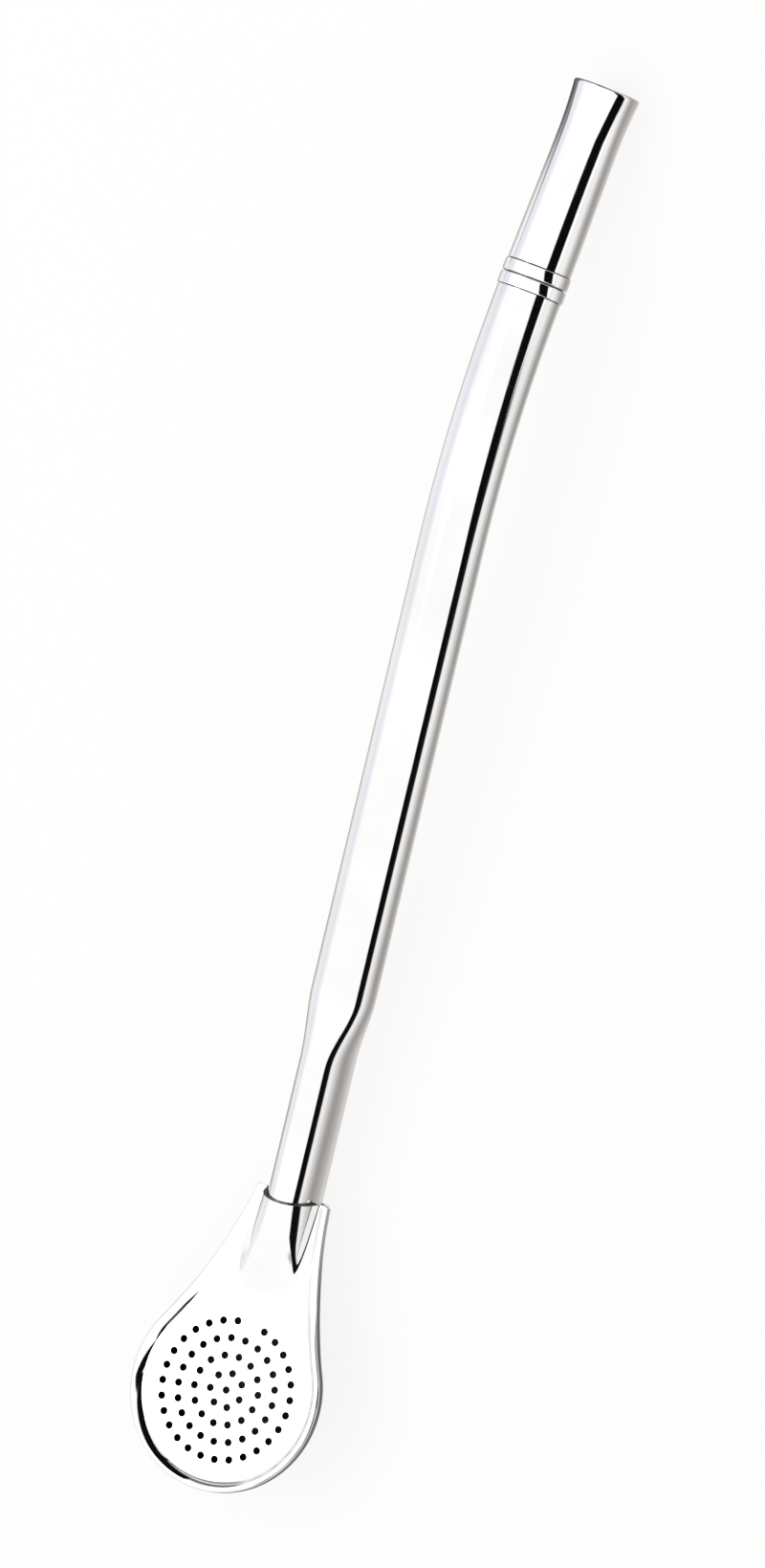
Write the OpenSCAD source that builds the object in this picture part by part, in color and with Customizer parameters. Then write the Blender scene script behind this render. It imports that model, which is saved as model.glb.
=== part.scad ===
// Bombilla: a metal mate straw with a pull-off spoon strainer, lying on its back.
// The straw lies along X with its mouthpiece towards +X, and is symmetric about the XZ plane.
// The origin is the middle of the flattened belly that the strainer rests on.

/* [Stem] */
// Outside diameter of the round tube
tube_d = 8; // [6:0.1:10]
// Wall of the tube
tube_wall = 0.5; // [0.3:0.05:0.8]
// Straight run from the strainer's collar up to the bend
lower_run = 84; // [60:1:130]
// Radius of the bend, on the tube's axis
bend_r = 99; // [70:1:140]
// Angle of the bend, which ends at the rings, towards the back of the strainer
bend_angle = 18.5; // [5:0.5:25]
// Angle at which the stem rises from the strainer's face
stem_rise = 14; // [11:0.5:16]
// Width across the oval lower end
oval_w = 5.9; // [5.4:0.1:6.4]
// Depth, front to back, of the oval lower end
oval_depth = 9.8; // [9.2:0.1:10.2]
// Length of oval tube that shows above the collar
oval_run = 17.5; // [6:0.5:25]
// Length over which the round tube eases into the oval
oval_ease = 9; // [4:0.5:15]
// Length of stem inside the collar
stem_insert = 4; // [3:0.1:4.2]

/* [Mouthpiece] */
// Length of the mouthpiece, from the rings to its lip
mouth_len = 23; // [18:0.5:35]
// Depth of the mouthpiece's waist below the tube's outside
waist_dip = 0.15; // [0.05:0.05:0.25]
// Distance from the lip to the waist
waist_at = 6.5; // [4:0.5:10]
// Height of the flared lip above the tube's outside
lip_rise = 0.175; // [0:0.025:0.75]
// Radius of the lip's rounded edge
lip_round = 0.3; // [0.15:0.05:0.35]

/* [Rings] */
// Length of each ring along the tube
ring_len = 1.7; // [1:0.1:3]
// Height of the rings' crown above the tube's outside
ring_rise = 0.175; // [0.05:0.025:0.5]
// Radius of the groove at each edge of a ring
ring_groove = 0.2; // [0.1:0.05:0.35]
// Length of the sleeve's seat in the stem and in the mouthpiece
sleeve_seat = 2; // [1:0.5:3]
// Step from the tube's bore out to the sleeve's seat
seat_step = 0.1; // [0.1:0.05:0.2]
// Wall of the sleeve, whose bore is flush with the mouthpiece's
sleeve_wall = 0.3; // [0.2:0.05:0.5]

/* [Strainer] */
// Radius of the strainer's round end
head_r = 12.5; // [11.5:0.1:14]
// Distance from the middle of the round end to the collar
neck_len = 25; // [23:0.1:28]
// Radius of the hollow sides between the round end and the collar
side_r = 60; // [45:1:90]
// Thickness of the sheet of the plate and the bowl
sheet = 0.5; // [0.4:0.05:0.6]
// Radius of the nose that ends the half-neck on the plate
nose_r = 16; // [12:0.5:20]
// Distance from the collar to the tip of that nose
nose_len = 12.5; // [11.5:0.1:13.5]
// Depth of the flat pressed on the belly
belly_flat = 0.25; // [0.1:0.05:0.4]
// Distance of the belly's flat from the middle of the round end
belly_at = 12.5; // [8:0.5:14]

/* [Rim] */
// Width of the bead round the edge, seen from the front
rim_w = 1.35; // [1.1:0.05:1.5]
// Wall of the bead above and below the flanges
rim_wall = 0.35; // [0.2:0.05:0.5]
// Radius of the bead's outer edges
rim_round = 0.45; // [0.2:0.05:0.6]

/* [Perforations] */
// Diameter of each hole
hole_d = 0.95; // [0.5:0.05:1.2]
// Distance between the rings of holes
hole_pitch = 2.13; // [1.8:0.01:2.2]
// Rings of holes round the middle one
hole_rings = 4; // [1:1:4]
// Holes in the first ring, and added in each further ring
hole_step = 7; // [5:1:8]
// Turn of the whole pattern about its middle
hole_turn = -2.5; // [-10:0.5:10]

/* [Fits] */
// Gap between the stem's oval end and the neck, all round
neck_gap = 0.1; // [0.05:0.01:0.15]
// Depth of the flanges' bite in the rim, measured from the rim's inner edge
rim_bite = 0.9; // [0.6:0.05:1]
// Gap between the rim's inner edge and the bowl's wall
wall_gap = 0.05; // [0.02:0.01:0.2]
// Gap between the flanges' edge and the bottom of the rim's slot
rim_gap = 0.05; // [0.02:0.01:0.1]

/* [Hidden] */
$fn = 96;
eps = 0.01;
// Distance by which a cut runs past the solid
over = 1;
steel = "#d9dadd";
bright = "#e6e7ea";
tube_r = tube_d / 2;
bore_r = tube_r - tube_wall;
upper_angle = stem_rise - bend_angle;
seat_r = bore_r + seat_step;
mouth_bore_r = seat_r - sleeve_wall;
waist_r = tube_r - waist_dip;
lip_r = tube_r + lip_rise;
ring_r = tube_r + ring_rise;
mouth_at = 2 * ring_len;
upper_len = mouth_at + mouth_len;

// Side view in the strainer's own frame: x from the middle of the round end, z from the flange plane
function turn(a) = [cos(a), sin(a)];
bend_start = [neck_len, 0] + lower_run * turn(stem_rise);
bend_centre = bend_start - bend_r * turn(stem_rise + 90);
bend_end = bend_centre + bend_r * turn(upper_angle + 90);
lip_centre = bend_end + (upper_len - lip_round) * turn(upper_angle)
             - (lip_r - lip_round) * turn(upper_angle + 90);

// The neck's hollow is the stem's oval end with its gap, and the bowl's hollow starts inside the rim and the wall
oval_seat = [oval_w / 2 + neck_gap, oval_depth / 2 + neck_gap];
flange_w = rim_w + wall_gap + sheet;

// Outline of the strainer, drawn in from the rim's outer edge by inset
side_reach = head_r + side_r;
collar_corner = [neck_len, oval_seat[0] + flange_w];
corner_pull = (head_r * head_r + 2 * head_r * side_r + collar_corner * collar_corner) / 2;
corner_unit = collar_corner / norm(collar_corner);
corner_foot = corner_pull / norm(collar_corner);
side_centre = corner_foot * corner_unit
              + sqrt(side_reach * side_reach - corner_foot * corner_foot) * [-corner_unit[1], corner_unit[0]];
side_angle = atan2(side_centre[1], side_centre[0]);
function half_width(x, inset) =
    x > (head_r - inset) * cos(side_angle)
    ? side_centre[1] - sqrt(pow(side_r + inset, 2) - pow(x - side_centre[0], 2))
    : sqrt(pow(head_r - inset, 2) - x * x);

// Depth of the bowl's hollow along its middle: under the stem it follows the stem, then it levels out
stem_end_x = neck_len - stem_insert * cos(stem_rise);
function stem_depth(x) = oval_seat[1] / cos(stem_rise) + (neck_len - x) * tan(stem_rise);
function bowl_depth(x) =
    x > stem_end_x
    ? stem_depth(x)
    : stem_depth(stem_end_x) + tan(stem_rise) * (pow(stem_end_x, 2) - pow(x, 2)) / (2 * stem_end_x);

// The surface that it lies on touches the belly's flat and the lip
belly = [belly_at, belly_flat - sheet - bowl_depth(belly_at)];
lip_from_belly = lip_centre - belly;
lie_angle = atan2(lip_from_belly[1], lip_from_belly[0]) - asin(lip_round / norm(lip_from_belly));
function surface_z(x) = belly[1] + (x - belly[0]) * tan(lie_angle);

// From the strainer's frame to the resting frame
module lying() rotate([0, lie_angle, 0]) translate([-belly[0], 0, -belly[1]]) children();
// From a frame on the stem's axis at the collar, with X up the stem, to the resting frame
module on_stem() lying() translate([neck_len, 0, 0]) rotate([0, -stem_rise, 0]) children();
// From a frame on the axis at the end of the bend, with X towards the lip, to the resting frame
module past_bend()
    on_stem() translate([lower_run, 0, -bend_r]) rotate([0, bend_angle, 0]) translate([0, 0, bend_r])
    children();
module along_x() rotate([0, 90, 0]) children();

// The stem's oval section, w wide and d deep
oval_sides = 48;
function oval_points(w, d) =
    [for (i = [0 : oval_sides - 1]) [w * cos(360 * i / oval_sides), d * sin(360 * i / oval_sides)] / 2];
// An oval rod along X, from x = from to x = to
module oval_rod(w, d, from, to)
    translate([from, 0, 0]) rotate([90, 0, 90]) linear_extrude(to - from) polygon(oval_points(w, d));

// A ring of the stem's lower end at a height above the collar, drawn in from its outside by inset.
// Both its skins end a little inside the wall of the round tube.
foot_step = 0.02;
function ease(t) = t <= 0 ? 0 : t >= 1 ? 1 : t * t * (3 - 2 * t);
function stem_ring(x, inset) =
    let (t = ease((x - oval_run) / oval_ease),
         w = oval_w + (tube_d - oval_w) * t,
         d = oval_depth + (tube_d - oval_depth) * t)
    [for (p = oval_points(w - 2 * inset, d - 2 * inset) * (1 + (inset > 0 ? 1 : -1) * foot_step * t / tube_r))
        [x, p[0], p[1]]];

// The stem's lower end: oval from inside the collar, easing to round
ease_steps = 8;
module stem_foot() {
    heights = concat([-stem_insert], [for (i = [0 : ease_steps]) oval_run + oval_ease * i / ease_steps]);
    rings = len(heights);
    points = [for (inset = [0, tube_wall]) for (x = heights) each stem_ring(x, inset)];
    function at(skin, ring, i) = (skin * rings + ring) * oval_sides + (i % oval_sides);
    faces = [for (i = [0 : oval_sides - 1]) each concat(
        [for (r = [0 : rings - 2]) each [
            [at(0, r, i), at(0, r + 1, i), at(0, r + 1, i + 1)],
            [at(0, r, i), at(0, r + 1, i + 1), at(0, r, i + 1)],
            [at(1, r, i), at(1, r + 1, i + 1), at(1, r + 1, i)],
            [at(1, r, i), at(1, r, i + 1), at(1, r + 1, i + 1)]]],
        [[at(0, 0, i), at(0, 0, i + 1), at(1, 0, i + 1), at(1, 0, i)],
         [at(0, rings - 1, i), at(1, rings - 1, i), at(1, rings - 1, i + 1), at(0, rings - 1, i + 1)]])];
    polyhedron(points, faces);
}

// A plain tube along X
module round_tube(r, wall, from, to)
    translate([from, 0, 0]) along_x() difference() {
        cylinder(r = r, h = to - from);
        translate([0, 0, -over]) cylinder(r = r - wall, h = to - from + 2 * over);
    }

module stem_tube() color(steel) difference() {
    on_stem() {
        stem_foot();
        round_tube(tube_r, tube_wall, oval_run + oval_ease, lower_run);
        translate([lower_run, 0, -bend_r]) rotate([-90, 0, 0]) rotate(-90)
            rotate_extrude(angle = bend_angle) translate([bend_r, 0]) difference() {
                circle(tube_r);
                circle(bore_r);
            }
    }
    past_bend() translate([-sleeve_seat, 0, 0]) along_x() cylinder(r = seat_r, h = sleeve_seat + over);
}

// Half sections of the turned pieces: the first coordinate is the radius, the second runs along the tube
mouth_steps = 12;
waist_z = mouth_len - waist_at;
function mouth_radius(z) =
    z < waist_z
    ? tube_r - waist_dip * ease(z / waist_z)
    : waist_r + (lip_r - waist_r) * pow((z - waist_z) / (waist_at - lip_round), 2);
module mouth_section() {
    lip_z = mouth_len - lip_round;
    polygon(concat(
        [for (i = [0 : mouth_steps]) [mouth_radius(waist_z * i / mouth_steps), waist_z * i / mouth_steps]],
        [for (i = [1 : mouth_steps])
            let (z = waist_z + (lip_z - waist_z) * i / mouth_steps) [mouth_radius(z), z]],
        [for (i = [1 : mouth_steps]) [lip_r - lip_round, lip_z] + lip_round * turn(180 * i / mouth_steps)],
        [[mouth_bore_r, waist_z], [mouth_bore_r, sleeve_seat], [seat_r, sleeve_seat], [seat_r, 0]]));
}
module mouthpiece() color(bright)
    past_bend() translate([mouth_at, 0, 0]) along_x() rotate_extrude() mouth_section();

// A ring with a round crown, whose edges dip below the tube to leave a groove
module crowned_ring() {
    rise = ring_rise + ring_groove;
    crown_r = (pow(ring_len / 2, 2) + rise * rise) / (2 * rise);
    along_x() rotate_extrude() intersection() {
        translate([seat_r, 0]) square([ring_r, ring_len]);
        translate([ring_r - crown_r, ring_len / 2]) circle(crown_r);
    }
}
module lower_ring() color(bright) past_bend() crowned_ring();
module upper_ring() color(bright) past_bend() translate([ring_len, 0, 0]) crowned_ring();
module joint_sleeve() color(steel)
    past_bend() round_tube(seat_r, sleeve_wall, -sleeve_seat, mouth_at + sleeve_seat);

// Outline of a flange, drawn in from the rim's outer edge by inset
side_steps = 12;
round_steps = 48;
side_from = head_r * cos(side_angle);
function side_x(i) = neck_len + (side_from - neck_len) * i / side_steps;
function outline(inset) = concat(
    [for (i = [0 : side_steps - 1]) [side_x(i), half_width(side_x(i), inset)]],
    [for (i = [0 : round_steps])
        (head_r - inset) * turn(side_angle + (360 - 2 * side_angle) * i / round_steps)],
    [for (i = [side_steps - 1 : -1 : 0]) [side_x(i), -half_width(side_x(i), inset)]]);

// The half-neck on the plate: an oval rod along the stem, ended by a round nose that runs out on the plate.
// grow is how far its skin stands outside the neck's hollow.
nose_tip = [sheet * sin(stem_rise) - nose_len * cos(stem_rise),
            sheet * cos(stem_rise) + nose_len * sin(stem_rise)];
nose_z = oval_seat[1] + sheet - nose_r;
nose_x = nose_tip[0] + sqrt(nose_r * nose_r - pow(nose_tip[1] - nose_z, 2));
module neck_form(grow, top) {
    w = 2 * (oval_seat[0] + grow);
    d = 2 * (oval_seat[1] + grow);
    translate([neck_len, 0, 0]) rotate([0, -stem_rise, 0]) {
        oval_rod(w, d, nose_x, top);
        intersection() {
            oval_rod(w, d, nose_x - nose_r, nose_x + eps);
            translate([nose_x, 0, nose_z]) rotate([90, 0, 0])
                cylinder(r = nose_r - sheet + grow, h = 2 * w, center = true);
        }
    }
}

// Holes in rings round the middle of the round end, the first of each ring towards the neck.
// The one nearest the neck in the outer ring is left out.
module perforations()
    for (ring = [0 : hole_rings], i = [0 : max(0, ring * hole_step - 1)])
        if (ring < hole_rings || i > 0)
            rotate(hole_turn + (ring == 0 ? 0 : 360 * i / (ring * hole_step))) translate([ring * hole_pitch, 0, -over])
                cylinder(d = hole_d, h = sheet + 2 * over, $fn = 24);

module strainer_plate() color(steel) lying() difference() {
    union() {
        linear_extrude(sheet) polygon(outline(rim_w - rim_bite));
        intersection() {
            neck_form(sheet, 0);
            translate([0, -head_r, 0]) cube([2 * neck_len, 2 * head_r, 2 * head_r]);
        }
    }
    neck_form(0, over);
    perforations();
}

// The bowl, as rays that run from its middle line out to the flange's edge and back along its underside.
// The rays go round from one side of the collar to the other: across the neck, then round the round end.
bowl_power = 2.6;
bowl_steps = 10;
neck_stations = 12;
fan_steps = 20;
rays = 2 * neck_stations + fan_steps;
function station(ray) = ray <= neck_stations ? ray : ray >= rays - neck_stations ? rays - ray : neck_stations;
function station_x(ray) = neck_len * (1 - station(ray) / neck_stations);
function ray_end(ray, inset) =
    station(ray) < neck_stations
    ? [station_x(ray), (ray < neck_stations ? 1 : -1) * half_width(station_x(ray), inset)]
    : (head_r - inset) * turn(90 + 180 * (ray - neck_stations) / fan_steps);
function shell_point(ray, step, skin) =
    let (angle = 90 * step / bowl_steps,
         middle = [station_x(ray), 0],
         xy = middle + (ray_end(ray, flange_w - skin) - middle) * pow(sin(angle), 2 / bowl_power),
         drop = bowl_depth(station_x(ray)) * pow(cos(angle), 2 / bowl_power) + skin)
    [xy[0], xy[1], max(-drop, surface_z(xy[0]) + sheet - skin)];
function flange_point(ray, z) = let (p = ray_end(ray, rim_w - rim_bite)) [p[0], p[1], z];
half_loop = bowl_steps + 2;
function ray_points(ray) = concat(
    [for (step = [1 : bowl_steps]) shell_point(ray, step, 0)],
    [flange_point(ray, 0), flange_point(ray, -sheet)],
    [for (step = [bowl_steps : -1 : 1]) shell_point(ray, step, sheet)]);
module back_shell() {
    ray_len = 2 * half_loop - 2;
    spine = [for (skin = [0, sheet]) for (i = [0 : neck_stations]) shell_point(i, 0, skin)];
    points = concat(spine, [for (ray = [0 : rays]) each ray_points(ray)]);
    last = ray_len + 1;
    function at(ray, k) =
        k == 0 ? station(ray)
        : k == last ? neck_stations + 1 + station(ray)
        : len(spine) + ray * ray_len + k - 1;
    function tidy(face) = [for (i = [0 : len(face) - 1]) if (face[i] != face[(i + 1) % len(face)]) face[i]];
    skin_faces = [for (ray = [0 : rays - 1]) for (k = [0 : last - 1])
        each [[at(ray, k), at(ray + 1, k + 1), at(ray, k + 1)],
              [at(ray, k), at(ray + 1, k), at(ray + 1, k + 1)]]];
    end_faces = [for (k = [0 : half_loop - 2])
        each [[at(0, k), at(0, k + 1), at(0, last - 1 - k), at(0, last - k)],
              [at(rays, last - k), at(rays, last - 1 - k), at(rays, k + 1), at(rays, k)]]];
    color(steel) lying()
        polyhedron(points, [for (face = concat(skin_faces, end_faces)) let (f = tidy(face)) if (len(f) > 2) f]);
}

// The rim: a bead with a slot for both flanges, swept along the outline from one side of the collar to the other.
// A point of its section is how far in from the outer edge it lies, and its height.
rim_h = 2 * (sheet + rim_wall);
slot_end = rim_w - rim_bite - rim_gap;
corner_steps = 3;
function rim_corner(inset, z, r, from) =
    [for (i = [0 : corner_steps]) [inset, z] + r * turn(from - 90 * i / corner_steps)];
rim_section = concat(
    rim_corner(rim_w - rim_wall, -sheet, rim_wall, 0),
    rim_corner(rim_round, rim_round - rim_h / 2, rim_round, -90),
    rim_corner(rim_round, rim_h / 2 - rim_round, rim_round, -180),
    rim_corner(rim_w - rim_wall, sheet, rim_wall, -270),
    [[slot_end, sheet], [slot_end, -sheet]]);
module rim_band() {
    n = len(rim_section);
    paths = [for (p = rim_section) [for (q = outline(p[0])) [q[0], q[1], p[1]]]];
    stations = len(paths[0]);
    function at(i, k) = i * n + k % n;
    skin = [for (i = [0 : stations - 2]) for (k = [0 : n - 1])
        each [[at(i, k), at(i, k + 1), at(i + 1, k + 1)], [at(i, k), at(i + 1, k + 1), at(i + 1, k)]]];
    // Each end is two lips and the back of the slot
    lip = 2 * corner_steps + 1;
    end = [concat([for (k = [0 : corner_steps + 1]) k], [n - 1]),
           concat([n - 1], [for (k = [corner_steps + 1 : lip]) k], [for (k = [lip + 1 : lip + corner_steps + 1]) k], [n - 2]),
           concat([for (k = [lip + corner_steps + 1 : n - 2]) k])];
    color(bright) lying() polyhedron(
        [for (i = [0 : stations - 1]) for (k = [0 : n - 1]) paths[k][i]],
        concat(skin, [for (f = end) [for (j = [len(f) - 1 : -1 : 0]) f[j]]],
               [for (f = end) [for (k = f) at(stations - 1, k)]]));
}

stem_tube();
mouthpiece();
upper_ring();
lower_ring();
joint_sleeve();
strainer_plate();
back_shell();
rim_band();
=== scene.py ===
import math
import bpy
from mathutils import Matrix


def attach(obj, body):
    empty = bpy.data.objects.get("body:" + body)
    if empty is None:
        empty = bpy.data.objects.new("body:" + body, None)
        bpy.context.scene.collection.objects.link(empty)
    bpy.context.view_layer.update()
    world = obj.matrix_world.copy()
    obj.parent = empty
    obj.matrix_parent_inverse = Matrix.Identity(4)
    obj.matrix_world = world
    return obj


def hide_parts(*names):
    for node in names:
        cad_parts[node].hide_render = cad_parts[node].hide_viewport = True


bl_info = {
    "name": "Mate Straw",
    "version": (1, 0, 0),
    "blender": (4, 5, 0),
    "location": "View3D > Sidebar > Mate Straw",
    "description": "Builds a polished steel mate straw with a pull-off spoon strainer",
    "category": "Add Mesh",
}

import bmesh
import bpy
from bpy.props import FloatProperty, FloatVectorProperty, IntProperty, PointerProperty
from mathutils import Matrix, Vector

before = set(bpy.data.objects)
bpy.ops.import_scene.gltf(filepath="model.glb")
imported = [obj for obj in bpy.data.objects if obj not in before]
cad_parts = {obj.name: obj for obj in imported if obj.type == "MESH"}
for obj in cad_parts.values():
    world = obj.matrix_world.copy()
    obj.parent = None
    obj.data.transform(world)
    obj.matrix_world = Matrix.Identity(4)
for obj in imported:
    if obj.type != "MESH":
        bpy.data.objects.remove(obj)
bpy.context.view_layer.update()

MM = 0.001
# Points closer than this are one point, within a piece and where two of its patches meet
MERGE = 1e-7
SEAM_MERGE = 1e-6
# Faces that meet at more than this angle keep a sharp edge
SHARP_ANGLE = math.radians(38)
# Most rings of holes that the plate's node tree makes, and the sides of a hole
MOST_RINGS = 4
HOLE_SIDES = 28
# A corner whose half angle is above this counts as straight
FLAT_CORNER = math.radians(89)
# The plate's sheet: rows along the half-neck and past it, points on each flat and over the arch, rounds of
# smoothing, and the share of the round end's radius at which the rows give way to the perforated outline
NECK_ROWS = 60
FLAT_ROWS = 4
FLAT_POINTS = 10
ARCH_POINTS = 56
ARCH_SMOOTHING = 10
PATCH_SHARE = 0.84
# The bowl: fullness of its section, steps along it, sections along the neck and rays round the head
BOWL_FULLNESS = 2.6
BOWL_STEPS = 40
BOWL_STATIONS = 48
BOWL_FAN = 80
BOWL_RAYS = 2 * BOWL_STATIONS + BOWL_FAN

# Finish of each steel: roughness where smooth and where worn, stretch and strength of its buffing lines
POLISH = {
    "Tube Steel": (0.035, 0.075, (0.02, 1.0, 1.0), 0.05),
    "Mouth Steel": (0.03, 0.07, (0.05, 1.0, 1.0), 0.05),
    "Ring Steel": (0.04, 0.09, (1.0, 0.1, 0.1), 0.05),
    "Sleeve Steel": (0.12, 0.2, (0.1, 1.0, 1.0), 0.1),
    "Plate Steel": (0.045, 0.1, (0.06, 1.0, 1.0), 0.05),
    "Plate Inside Painted Shade": (0.4, 0.55, (0.06, 1.0, 1.0), 0.3),
    "Bowl Steel": (0.05, 0.11, (0.06, 1.0, 1.0), 0.06),
    "Bowl Inside Painted Shade": (0.4, 0.55, (0.06, 1.0, 1.0), 0.3),
    "Rim Steel": (0.04, 0.085, (0.2, 1.0, 1.0), 0.05),
}
# Roughness of the plate's satin round end, where smooth and where worn
SATIN_SMOOTH = 0.17
SATIN_WORN = 0.27
# Buffing lines: depth, share in the wear, and the noise levels between which they and the haze show
LINE_DEPTH = 0.02 * MM
LINE_SHARE = 0.35
LINE_RANGE = (0.45, 0.75)
HAZE_RANGE = (0.35, 0.7)

# The picture's axes in the strainer's frame, its scale and height in pixels, and the way from the middle of
# the round end to the middle of the picture
VIEW_RIGHT = Vector((0.3283, -0.8613, -0.3889))
VIEW_UP = Vector((0.944, 0.3189, 0.0907))
PIXELS_PER_MM = 8.6229
PICTURE_HEIGHT = 1639
TO_MIDDLE = (161.8, 633.8)
# The camera's lens and sensor, in millimetres
LENS = 760.0
SENSOR = 36.0

# Half the floor's side, in metres
FLOOR_HALF = 3
# Painted shade on the floor as the steel mirrors it: how far from the straw it is graded, and its levels on
# the way
SHADE_REACH = (-4 * MM, 36 * MM)
SHADE_FIRST = (0.55, 0.53, 0.51, 1.0)
SHADE_LEVELS = ((0.08, 0.72), (0.15, 0.5), (0.25, 0.36), (0.33, 0.42), (0.45, 0.64))
SHADE_WARMTH = (1.0, 0.96, 0.92)
SHADE_END = 0.78
SHADE_LAST = (0.95, 0.95, 0.95, 1.0)
# Painted shade on the mirrored floor, darker close to the round end, and behind the lip
HEAD_SHADE = (2 * MM, 12 * MM)
HEAD_LEVEL = 0.3
LIP_SHADE = (15 * MM, 3 * MM)
LIP_DEPTH = 0.75
LIP_SIDE = 4 * MM
# Painted dark reflection on the floor beyond the near side, along the lower part of the straw
NEAR_SIDE = (-100 * MM, -60 * MM)
NEAR_LENGTH = (85 * MM, 115 * MM)
NEAR_DARK = (0.01, 0.01, 0.01, 1.0)
# Share of plain white in what the camera sees of the floor, over its shadow
FLOOR_SHOWN = 0.86

# The studio as the steel mirrors it, with painted reflections that only the steel sees. Directions are from
# the straw, and each pair is where an edge starts and ends, as a cosine
WHITE = (1.0, 1.0, 1.0, 1.0)
DARK = (0.003, 0.003, 0.003, 1.0)
# A painted reflection of the far side, a little cool
FAR_TINT = (0.80, 0.79, 0.86, 1.0)
FAR_EDGE = (0.82, 0.97)
# A painted reflection of a dark strip between two directions on the near side, which makes the dark line
# along the tube
STRIP_LOW = Vector((-0.24, -0.967, 0.09))
STRIP_HIGH = Vector((0.147, -0.901, 0.409))
STRIP_EDGE = (0.15, 0.19)
STRIP_ENDS = (0.80, 0.86)
# Painted reflections of three low dark cards: past the lip on the near side, past the round end, and past
# the lip on the far side
FLAG_AT = Vector((0.87, -0.5, 0))
FLAG_EDGE = (0.60, 0.64)
FLAG_TOP = (0.24, 0.32)
FLAG_SLANT = -0.3
FLANK_AT = Vector((-0.707, -0.707, 0))
FLANK_EDGE = (0.88, 0.905)
FLANK_TOP = (0.36, 0.44)
FLANK_MIDDLE = (0.955, 0.985)
FLANK_PALE = 0.25
AHEAD_AT = Vector((0.9, 0.43, 0))
AHEAD_EDGE = (0.86, 0.92)
AHEAD_TOP = (0.12, 0.25)
AHEAD_DEPTH = 0.85
# Strength of the studio's light, and what mirrors and the camera see on top of it
STUDIO_LIGHT = 0.85
MIRROR_EXTRA = 0.27
CAMERA_EXTRA = 0.15


def length(name, description, millimetres):
    """A size that a user can change, given in millimetres"""
    return FloatProperty(name=name, description=description, default=millimetres * MM,
                         min=0.0, precision=5, unit="LENGTH")


def angle(name, description, degrees):
    """An angle that a user can change, given in degrees"""
    return FloatProperty(name=name, description=description, default=math.radians(degrees),
                         subtype="ANGLE")


def copies(name, description, number, most):
    """A number of copies that a user can change"""
    return IntProperty(name=name, description=description, default=number, min=1, max=most)


def colour(name, description, rgb):
    """A colour that a user can change"""
    return FloatVectorProperty(name=name, description=description, default=rgb, size=3,
                               min=0.0, max=1.0, subtype="COLOR")


class StemSizes(bpy.types.PropertyGroup):
    """Sizes of the tube, its rings and its mouthpiece"""
    tube_d: length("Tube", "Outside diameter of the round tube", 8)
    tube_wall: length("Tube wall", "Wall of the tube", 0.5)
    lower_run: length("Lower run", "Straight run from the collar up to the bend", 84)
    bend_r: length("Bend radius", "Radius of the bend on the tube's axis", 99)
    bend_angle: angle("Bend angle", "Angle of the bend", 18.5)
    stem_rise: angle("Stem rise", "Angle at which the stem rises from the strainer's face", 14)
    oval_w: length("Oval width", "Width across the oval lower end", 5.9)
    oval_depth: length("Oval depth", "Depth of the oval lower end", 9.8)
    oval_run: length("Oval run", "Length of oval tube above the collar", 17.5)
    oval_ease: length("Oval ease", "Length over which the round tube eases into the oval", 9)
    stem_insert: length("Insert", "Length of stem inside the collar", 4)
    mouth_len: length("Mouthpiece", "Length of the mouthpiece from the rings to its lip", 23)
    waist_dip: length("Waist dip", "Depth of the waist below the tube's outside", 0.15)
    waist_at: length("Waist place", "Distance from the lip to the waist", 6.5)
    lip_rise: length("Lip rise", "Height of the lip above the tube's outside", 0.175)
    lip_round: length("Lip round", "Radius of the lip's rounded edge", 0.3)
    ring_len: length("Ring length", "Length of each ring along the tube", 1.7)
    ring_rise: length("Ring rise", "Height of the rings' crown above the tube's outside", 0.175)
    ring_groove: length("Ring groove", "Depth of the groove at each edge of a ring", 0.2)
    ring_edge: length("Ring edge", "Length of the sloped edge of a ring", 0.14)
    ring_crown: length("Ring crown", "Height that a ring gains from its edge to its middle", 0.012)
    sleeve_seat: length("Sleeve seat", "Length of the sleeve's seat", 2)
    seat_step: length("Seat step", "Step from the tube's bore out to the sleeve's seat", 0.1)
    sleeve_wall: length("Sleeve wall", "Wall of the sleeve, whose bore is flush with the mouthpiece's", 0.3)


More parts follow.
